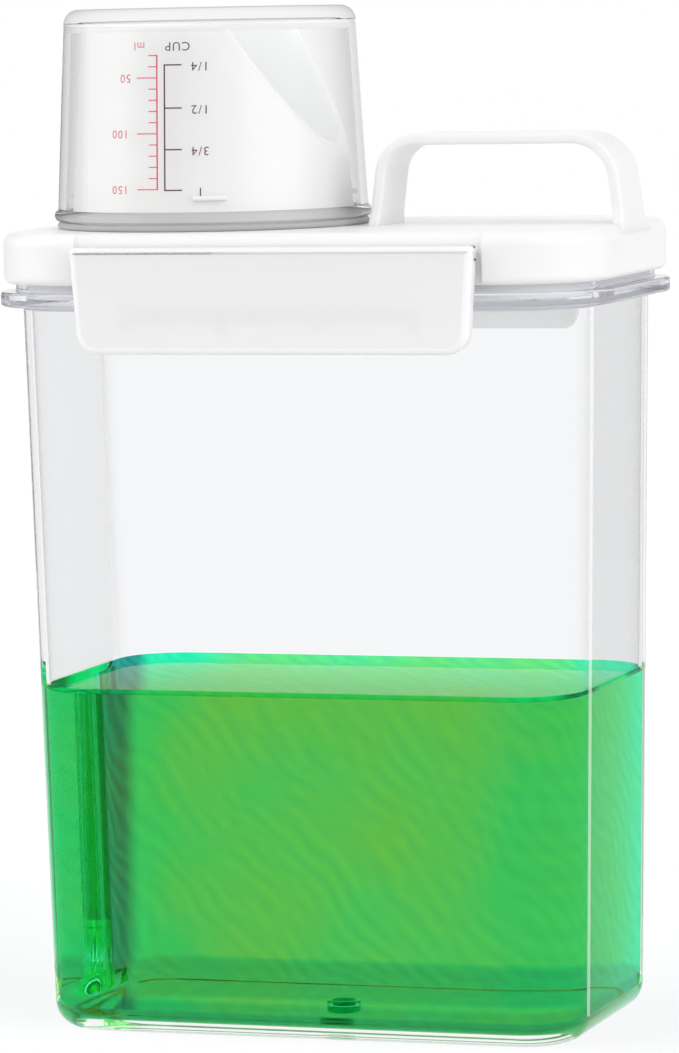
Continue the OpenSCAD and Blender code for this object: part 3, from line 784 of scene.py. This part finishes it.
# %% Latch recesses and spout hole
AXIS, HOLE_R = -30.3, 32.4
RECESS_X, RECESS_Y, RECESS_Z, RECESS_ROUND = 49.3, 44.2, 185.2, 3.0
for facing in (-1, 1):
    recess = pen_down("recess_cutter", (-RECESS_X, 0), RECESS_Y, 175, out=(0, facing))
    pen_line((RECESS_Y, RECESS_Z))
    pen_arc(RECESS_Y - RECESS_ROUND, RECESS_Z, 90, 10)
    pen_line((RECESS_Y - RECESS_ROUND, 191), (60, 191), (60, 175))
    extrude_all(2 * RECESS_X)
    combine(lid, recess)
hole = pen_down("spout_hole_cutter", (AXIS, 0), 0, 184)
pen_line((HOLE_R, 184), (HOLE_R, 190), (0, 190))
turn_round(AXIS, 96)
combine(lid, hole)
measure(lid)

# %% Hinge ears behind the latches
HINGE = (46.8, 183.5)
EAR_R, BORE_R, SLOT_Q, EAR_T = 1.5, 0.85, 0.65, 2
NECK_Q, NECK_H, EAR_ROOT = 0.9, 1.2, 43.7
q, z = HINGE
dip, bore_dip = math.sqrt(EAR_R**2 - SLOT_Q**2), math.sqrt(BORE_R**2 - SLOT_Q**2)
ear_start = math.degrees(math.atan2(NECK_H, -NECK_Q))
ear_end = math.degrees(math.atan2(-dip, SLOT_Q))
bore_start = math.degrees(math.atan2(-bore_dip, SLOT_Q))
for facing in (-1, 1):
    for side_x in (-46.476, 44.476):
        ear = pen_down("ear", (side_x, 0), q - SLOT_Q, z - dip, out=(0, facing))
        pen_line((q - NECK_Q, z - NECK_H), (EAR_ROOT, z - NECK_H), (EAR_ROOT, z + NECK_H),
                 (q - NECK_Q, z + NECK_H))
        pen_arc(q, z, ear_end - ear_start, 14)
        pen_line((q + SLOT_Q, z - bore_dip))
        pen_arc(q, z, 180 - 2 * bore_start, 14)
        extrude_all(EAR_T)
        combine(lid, ear, "UNION")
finish_piece(lid, white_lid, "pack")
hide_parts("lid")

# %% [markdown]
# ## The pour spout
# The spout is a slightly conical tube whose top is cut off at a slant, so that the liquid
# runs out over the low side. A tube is turned from its wall's section, and one bisect with
# a tilted plane makes the slanted mouth, filled so that the wall stays solid. Four short
# snap ribs hold the cup: one is spun through a few degrees and copied round.

# %% Spout tube
SPOUT_Z, SPOUT_LOW_R, SPOUT_HIGH_R, SPOUT_T = 235.4, 33.57, 30.2, 2
MID_R = 32.4
spout = pen_down("pour_spout", (AXIS, 0), SPOUT_LOW_R - SPOUT_T, PLATE_Z)
pen_line((SPOUT_LOW_R, PLATE_Z), (SPOUT_HIGH_R, SPOUT_Z), (SPOUT_HIGH_R - SPOUT_T, SPOUT_Z),
         (SPOUT_LOW_R - SPOUT_T, PLATE_Z))
close_up()
soften(SPOUT_HIGH_R, SPOUT_Z, 0.7, 5)
soften(SPOUT_HIGH_R - SPOUT_T, SPOUT_Z, 0.7, 5)
turn_round(AXIS, 128)
slant = math.radians(58)
normal = Vector((math.sin(slant), 0, math.cos(slant)))
edge_point = Vector((AXIS + 12.8, 0, SPOUT_Z))
bpy.ops.mesh.select_all(action="SELECT")
bpy.ops.mesh.bisect(plane_co=edge_point * MM, plane_no=normal, use_fill=True, clear_outer=True)
pick(lambda p: abs((p - edge_point).dot(normal)) < 0.01, "EDGE")
bpy.ops.mesh.bevel(offset=0.45 * MM, segments=3, affect="EDGES", clamp_overlap=True)
close_up()
finish_piece(spout, white_spout_painted_shade, "pack")
slope = (SPOUT_LOW_R - SPOUT_HIGH_R) / (SPOUT_Z - PLATE_Z)
# Painted light: the spout's inner faces get the brighter white.
dress(spout, (white_throat_painted_light, lambda p: math.hypot(p.x - AXIS, p.y) < MID_R - (p.z - PLATE_Z) * slope))

# %% Snap ribs
RIB_OUT, RIB_LOW, RIB_TOP = 34.2, 195.2, 196.4
axis_point = (AXIS * MM, 0, 0)
rib = pen_down("snap_ribs", (AXIS, 0), MID_R, RIB_LOW)
pen_line((RIB_OUT, RIB_LOW), (RIB_OUT, RIB_TOP), (MID_R, RIB_TOP))
soften(RIB_OUT, RIB_LOW, 0.5, 3)
soften(RIB_OUT, RIB_TOP, 0.5, 3)
bpy.ops.mesh.select_all(action="SELECT")
bpy.ops.mesh.edge_face_add()
bpy.ops.mesh.spin(steps=6, angle=-math.radians(13), center=axis_point, axis=(0, 0, 1))
close_up()
bpy.ops.transform.rotate(value=-math.radians(11.5), orient_axis="Z", center_override=axis_point)
for _ in range(3):
    bpy.ops.mesh.duplicate()
    bpy.ops.transform.rotate(value=math.pi / 2, orient_axis="Z", center_override=axis_point)
finish_piece(rib, white_lid, "pack")

# %% [markdown]
# ## The carry handle
# The handle is a flat strap, bent into an arch, that stands on the lid with its left foot
# and runs into the lid's end with its right foot. The outer and the inner line of the arch
# are drawn, bridged into a flat band, and extruded to the strap's width. Its long edges
# are bevelled, and rows cut near the feet are widened so that the feet flare into the lid.

# %% Handle arch
STRAP_W, STRAP_T, ARCH_TOP = 19, 2.6, 209.5
LEFT_X, RIGHT_X, LEFT_R, RIGHT_R = 11.2, 73.3, 9.7, 11.3
SINK = LID_TOP - PLATE_Z
lean = math.tan(math.radians(7.5))
thick = STRAP_T / math.cos(math.radians(7.5))


def arch(name, inset, top):
    """One line of the arch, drawn from foot to foot at a distance inside the outer line."""
    turn = ARCH_TOP - top
    left, far = LEFT_X + inset, RIGHT_X - inset
    left_top, far_top = left + (top - LID_TOP) * lean, far - (top - PLATE_Z) * lean
    piece = pen_down(name, (0, -STRAP_W / 2), left - SINK * lean, PLATE_Z)
    pen_line((left_top, top), (far_top, top), (far, PLATE_Z))
    soften(left_top, top, LEFT_R - turn, 14)
    soften(far_top, top, RIGHT_R - turn, 14)
    return piece


handle = arch("carry_handle", 0, ARCH_TOP)
inner = arch("handle_inner", thick, ARCH_TOP - STRAP_T)
alone(handle)
inner.select_set(True)
bpy.ops.object.join()
bpy.ops.object.mode_set(mode="EDIT")
bpy.ops.mesh.select_mode(type="EDGE")
bpy.ops.mesh.select_all(action="SELECT")
bpy.ops.mesh.bridge_edge_loops()
bpy.ops.mesh.select_all(action="SELECT")
bpy.ops.mesh.extrude_region_move(TRANSFORM_OT_translate={"value": (0, STRAP_W * MM, 0)})
close_up()
print("handle has", len(bmesh.from_edit_mesh(handle.data).faces), "faces before its edges are rounded")

# %% Handle edges and feet
mesh = bmesh.from_edit_mesh(handle.data)
bpy.ops.mesh.select_mode(type="EDGE")
bpy.ops.mesh.select_all(action="DESELECT")
for edge in mesh.edges:
    if abs(edge.verts[0].co.y - edge.verts[1].co.y) < 1e-6 and edge.calc_face_angle(0) > math.radians(60):
        if max(v.co.z for v in edge.verts) > (PLATE_Z + 0.3) * MM:
            edge.select_set(True)
bmesh.update_edit_mesh(handle.data)
bpy.ops.mesh.bevel(offset=0.9 * MM, segments=4, affect="EDGES")
FLARE = 7
for row in range(1, FLARE + 1):
    bpy.ops.mesh.select_all(action="SELECT")
    bpy.ops.mesh.bisect(plane_co=(0, 0, (PLATE_Z + row) * MM), plane_no=(0, 0, 1))
for row in range(0, FLARE):
    spread = FLARE - math.sqrt(FLARE**2 - (FLARE - row) ** 2)
    pick(lambda p: abs(p.z - PLATE_Z - row) < 0.01)
    bpy.ops.transform.resize(value=(1, 1 + spread / (STRAP_W / 2), 1), center_override=(0, 0, 0))
close_up()
# Painted shade: the handle gets the darker white.
finish_piece(handle, white_handle_painted_shade, "pack")

# %% [markdown]
# ## The two soft rings
# A sealing ring lies in the lid's groove on top of the neck, and a second ring lies round
# the spout's foot, where the cup's rim presses on it. Both are soft, so their edges are
# round. One is carried round the corners and the other is turned.

# %% Lid gasket and spout ring
def soft_ring(name, foot, inner_r, outer_r, low, high, inner_round, outer_round, segments):
    """Draws the section of a ring with rounded edges, ready to be carried or turned."""
    piece = pen_down(name, foot, inner_r, low)
    pen_line((outer_r, low), (outer_r, high), (inner_r, high), (inner_r, low))
    close_up()
    for r, radius in ((outer_r, outer_round), (inner_r, inner_round)):
        soften(r, low, radius, segments)
        soften(r, high, radius, segments)
    return piece


SEAL_TOP, SEAL_R = 189.7, 36.9
gasket = soft_ring("gasket_ring", START, 17.4, 20.7, NECK_TOP, PLATE_Z, 0.6, 0.6, 4)
carry_round(16)
finish_piece(gasket, silicone, "pack")
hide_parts("lid_gasket")
ring = soft_ring("spout_ring", (AXIS, 0), 33.5, SEAL_R, LID_TOP, SEAL_TOP, 0.2, 0.7, 5)
turn_round(AXIS, 128)
finish_piece(ring, silicone, "pack")
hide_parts("spout_seal")

# %% [markdown]
# ## The measuring cup
# The cup stands upside down over the spout. It is turned from one section, like the spout:
# from the middle of its base inside, down the inner wall, round the rolled rim, and back
# up the outer wall. The base is left open in the section and closed with two flat faces,
# because a fan of thin triangles in the middle would show in clear plastic. The rolled rim
# is thick and looks grey, its lower edge is tinted much darker still as painted shade where
# the rim meets the ring, and the base is a slightly grey film.
# The cup throws no shadow on the spout, as light falls through it.

# %% Cup section
CUP_TOP, CUP_IN, CUP_T, CUP_TOP_R, CUP_CAP_R = 239.6, 236.6, 1.8, 34.3, 10.0
BEAD_R, BEAD_MIDDLE, BEAD_RISE = 1.6, 36.0, 1.42
RIM_Z, RIM_EDGE_Z, BASE_Z = 193, 190.6, 233.5
TAPER = (SEAL_R - CUP_TOP_R) / (CUP_TOP - SEAL_TOP)


def cup_r(z):
    """The cup's outer radius at a height."""
    return SEAL_R - (z - SEAL_TOP) * TAPER


cup = pen_down("cup_shell", (AXIS, 0), CUP_CAP_R, CUP_IN)
pen_line((cup_r(CUP_IN) - CUP_T, CUP_IN), (SEAL_R - CUP_T, SEAL_TOP), (BEAD_MIDDLE, SEAL_TOP))
pen_arc(BEAD_MIDDLE, SEAL_TOP + BEAD_R, 90 + math.degrees(math.asin(BEAD_RISE / BEAD_R)), 14)
pen_line((CUP_TOP_R, CUP_TOP), (CUP_CAP_R, CUP_TOP))
soften(cup_r(CUP_IN) - CUP_T, CUP_IN, 2.6, 8)
soften(SEAL_R - CUP_T, SEAL_TOP, 0.5, 4)
soften(CUP_TOP_R, CUP_TOP, 3.5, 10)
turn_round(AXIS, 160)
cap(CUP_IN)
cap(CUP_TOP)
finish_piece(cup, clear_cup, "cup")
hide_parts("measuring_cup")
cup.visible_shadow = cup.visible_diffuse = False
# Painted shade on the rim's lower edge.
dress(cup, (clear_bead, lambda p: p.z < RIM_Z), (bead_painted_shade, lambda p: p.z < RIM_EDGE_Z),
      (cup_plate, lambda p: p.z > BASE_Z))

# %% [markdown]
# ## The printed scale
# The cup carries two plain scales, one in millilitres and one in parts of a cup, printed
# upright for a cup that stands on its base, so they are upside down here. Bars and figures
# are laid out flat in front of the cup, given some vertices so that they can bend, and
# projected on the wall with a shrinkwrap. A thin solidify makes the ink a closed skin.

# %% Flat bars and figures
SHEET_Y = -45


def bar(start, end, low, high):
    """A flat upright bar in front of the cup, with enough rows to bend."""
    let_go()
    middle = Vector((AXIS + (start + end) / 2, SHEET_Y, (low + high) / 2)) * MM
    bpy.ops.mesh.primitive_plane_add(size=MM, location=middle, rotation=(math.pi / 2, 0, 0))
    piece = bpy.context.object
    piece.scale = (end - start, high - low, 1)
    bpy.ops.object.transform_apply()
    bpy.ops.object.mode_set(mode="EDIT")
    bpy.ops.mesh.subdivide(number_cuts=7)
    bpy.ops.object.mode_set(mode="OBJECT")
    return piece


def figure(words, middle, z, height):
    """Flat figures in front of the cup, turned upside down."""
    let_go()
    spot = Vector((AXIS + middle, SHEET_Y, z)) * MM
    bpy.ops.object.text_add(location=spot, rotation=(math.pi / 2, math.pi, 0))
    piece = bpy.context.object
    piece.data.body = words
    piece.data.size = height * MM / 0.7
    piece.data.align_x = "CENTER"
    piece.data.align_y = "CENTER"
    piece.data.space_character = 1.15
    piece.data.resolution_u = 3
    bpy.ops.object.convert(target="MESH")
    bpy.ops.object.transform_apply()
    return bpy.context.object


def print_on_cup(name, parts, ink):
    """Joins flat parts, projects them on the cup's wall and gives them the ink's thickness."""
    alone(parts[0])
    for part in parts:
        part.select_set(True)
    bpy.ops.object.join()
    piece = bpy.context.object
    piece.name = piece.data.name = name
    wrap = piece.modifiers.new("on the wall", "SHRINKWRAP")
    wrap.target = cup
    wrap.wrap_method = "PROJECT"
    wrap.use_project_y = True
    wrap.use_positive_direction = True
    wrap.use_negative_direction = False
    wrap.offset = 0.05 * MM
    bpy.ops.object.modifier_apply(modifier=wrap.name)
    skin = piece.modifiers.new("ink", "SOLIDIFY")
    skin.thickness = 0.03 * MM
    skin.offset = 0
    bpy.ops.object.modifier_apply(modifier=skin.name)
    piece.data.materials.clear()
    piece.data.materials.append(ink)
    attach(piece, "cup")
    spread = [round(c / MM, 1) for c in piece.dimensions]
    print(f"{name}: {len(piece.data.polygons)} faces, {spread} mm")

# %% Millilitre scale
LOW_MARK, MARK_STEP, MARKS = 198.05, 2.568, 13
HEADING_Z, FIGURE_H = 231.1, 1.9
marks = [bar(-1.0, -0.62, LOW_MARK - 0.15, LOW_MARK + (MARKS - 1) * MARK_STEP + 0.15)]
for k in range(MARKS):
    z = LOW_MARK + k * MARK_STEP
    marks.append(bar(-2.9 if k % 5 else -5.9, -0.8, z - 0.13, z + 0.13))
for words, middle, k in (("150", -10.5, 0), ("100", -10.4, 5), ("50", -8.9, 10)):
    marks.append(figure(words, middle, LOW_MARK + k * MARK_STEP, FIGURE_H))
marks.append(figure("ml", -5.2, HEADING_Z, FIGURE_H))
print_on_cup("scale_millilitres", marks, red_ink)

# %% Cup scale
CUP_FIGURE_H = 2.0
marks = [bar(0.85, 1.2, 197.7, 226.8)]
for z, words in ((226.66, "1/4"), (216.75, "1/2"), (207.2, "3/4"), (197.85, "1")):
    marks.append(bar(1.0, 5.1, z - 0.16, z + 0.16))
    marks.append(figure(words, 9.3, z - 0.3, CUP_FIGURE_H))
marks.append(figure("CUP", 4.2, HEADING_Z - 0.1, CUP_FIGURE_H))
print_on_cup("scale_cups", marks, dark_ink)

# %% [markdown]
# ## The latches
# Each latch is a shallow white cover that swings on two pins and hooks under the flange.
# Its front starts as a cube: the lower end is drawn in, the lower corners and all the front
# edges are bevelled, and a boolean hollows the back between two cheeks. The barrel, the
# pins and the hook are drawn as sections and extruded along the latch. The rear latch is
# a copy that is turned half round. The rounded rim of the cover is polished and painted a
# brighter white, a painted highlight; its front is satin and painted a darker white, painted
# shade; and its back lets light through, as thin white plastic does, and is painted brighter,
# painted light against its shade.

# %% Latch cover
LATCH_W, LATCH_D, LATCH_H, LATCH_Y, LATCH_Z = 97, 3.8, 24.6, -48.5, 173.0
LOW_W, CHEEK_T = 93.6, 1.6
LOWER_END, UPPER_END, FRONT_EDGE = 161, 185, -50.3


def block(name, y, width, deep, high, low_width):
    """An upright block in the latch's middle whose lower end is drawn in, left in edit mode."""
    let_go()
    bpy.ops.mesh.primitive_cube_add(size=MM, location=Vector((0, y, LATCH_Z)) * MM)
    piece = bpy.context.object
    piece.name = piece.data.name = name
    piece.scale = (width, deep, high)
    bpy.ops.object.transform_apply()
    bpy.ops.object.mode_set(mode="EDIT")
    pick(lambda p: p.z < LOWER_END)
    bpy.ops.transform.resize(value=(low_width / width, 1, 1), center_override=(0, 0, 0))
    return piece


latch = block("latch_front", LATCH_Y, LATCH_W, LATCH_D, LATCH_H, LOW_W)
pick(lambda p: p.z < LOWER_END, "EDGE", along=1)
bpy.ops.mesh.bevel(offset=5 * MM, segments=10, affect="EDGES")
pick(lambda p: p.z > UPPER_END, "EDGE", along=1)
bpy.ops.mesh.bevel(offset=1.0 * MM, segments=4, affect="EDGES")
pick(lambda p: p.y < FRONT_EDGE, "EDGE")
bpy.ops.mesh.bevel(offset=1.6 * MM, segments=6, affect="EDGES")
close_up()
measure(latch)

# %% Hollow back
hollow = block("hollow", -43.6, LATCH_W - 2 * CHEEK_T, 10, LATCH_H + 1, LOW_W - 2 * CHEEK_T)
combine(latch, hollow)
edges = latch.modifiers.new("moulded edges", "BEVEL")
edges.width = 0.3 * MM
edges.segments = 2
edges.limit_method = "ANGLE"
edges.angle_limit = math.radians(50)
bpy.ops.object.modifier_apply(modifier=edges.name)
measure(latch)

# %% Barrel, pins and hook
PIN_R, BARREL_R, HOOK_W, BRACE_T, BRACES = 0.8, 1.8, 72, 1.6, 4
BARREL_TOP = HINGE[1] + BARREL_R


def bar_from(name, start_x, length, draw):
    """Extrudes a section, drawn facing the front, along the latch."""
    piece = draw(name, start_x)
    bpy.ops.mesh.select_all(action="SELECT")
    bpy.ops.mesh.remove_doubles(threshold=0.002 * MM)
    extrude_all(length)
    return piece


def barrel_section(name, x):
    piece = pen_down(name, (x, 0), 48.9, BARREL_TOP, out=(0, -1))
    pen_line((HINGE[0], BARREL_TOP))
    pen_arc(*HINGE, 270, 24)
    pen_line((48.9, HINGE[1]))
    return piece


def round_section(radius):
    def draw(name, x):
        piece = pen_down(name, (x, 0), HINGE[0] + radius, HINGE[1], out=(0, -1))
        pen_arc(*HINGE, 360, 24)
        return piece
    return draw


def hook_section(name, x):
    piece = pen_down(name, (x, 0), 49.1, 170.6, out=(0, -1))
    pen_line((43.6, 170.6), (43.6, 169.4), (44.8, 168.2), (49.1, 168.2))
    soften(43.6, 170.6, 0.3, 3)
    return piece


def brace_section(name, x):
    piece = pen_down(name, (x, 0), 49.1, 168.7, out=(0, -1))
    pen_line((46.6, 168.7), (46.6, 168.2), (49.1, 165.8))
    return piece


inner_parts = [bar_from("barrel", -44.176, 88.352, barrel_section),
               bar_from("pin", -47.5, 95.0, round_section(PIN_R)),
               bar_from("hook", -HOOK_W / 2, HOOK_W, hook_section)]
for x in (-48.3, 46.776):
    inner_parts.append(bar_from("pin_boss", x, 1.524, round_section(BARREL_R)))
for k in range(BRACES):
    start_x = 69.2 * (k / (BRACES - 1) - 0.5) - BRACE_T / 2
    inner_parts.append(bar_from("brace", start_x, BRACE_T, brace_section))
alone(latch)
for part in inner_parts:
    part.select_set(True)
bpy.ops.object.join()

# %% Rear latch
RIM_Y, FRONT_Y, BACK_Y = 48.7, 50.35, 48.65
bpy.ops.object.duplicate()
rear = bpy.context.object
rear.name = rear.data.name = "latch_rear"
bpy.ops.object.mode_set(mode="EDIT")
bpy.ops.mesh.select_all(action="SELECT")
bpy.ops.transform.rotate(value=math.pi, orient_axis="Z", center_override=(0, 0, 0))
bpy.ops.object.mode_set(mode="OBJECT")
for piece, body, node in ((latch, "front_flap", "front_latch"), (rear, "rear_flap", "rear_latch")):
    # Painted shade on the latch's front, then a painted highlight on its rim and painted light on its back.
    finish_piece(piece, white_latch, body)
    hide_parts(node)
    dress(piece, (white_rim_painted_highlight, lambda p: abs(p.y) > RIM_Y), (white_latch, lambda p: abs(p.y) > FRONT_Y),
          (white_back_painted_light, lambda p: abs(p.y) < BACK_Y))

# %% [markdown]
# ## The end
# The script ends in object mode with nothing selected.

# %% End
let_go()
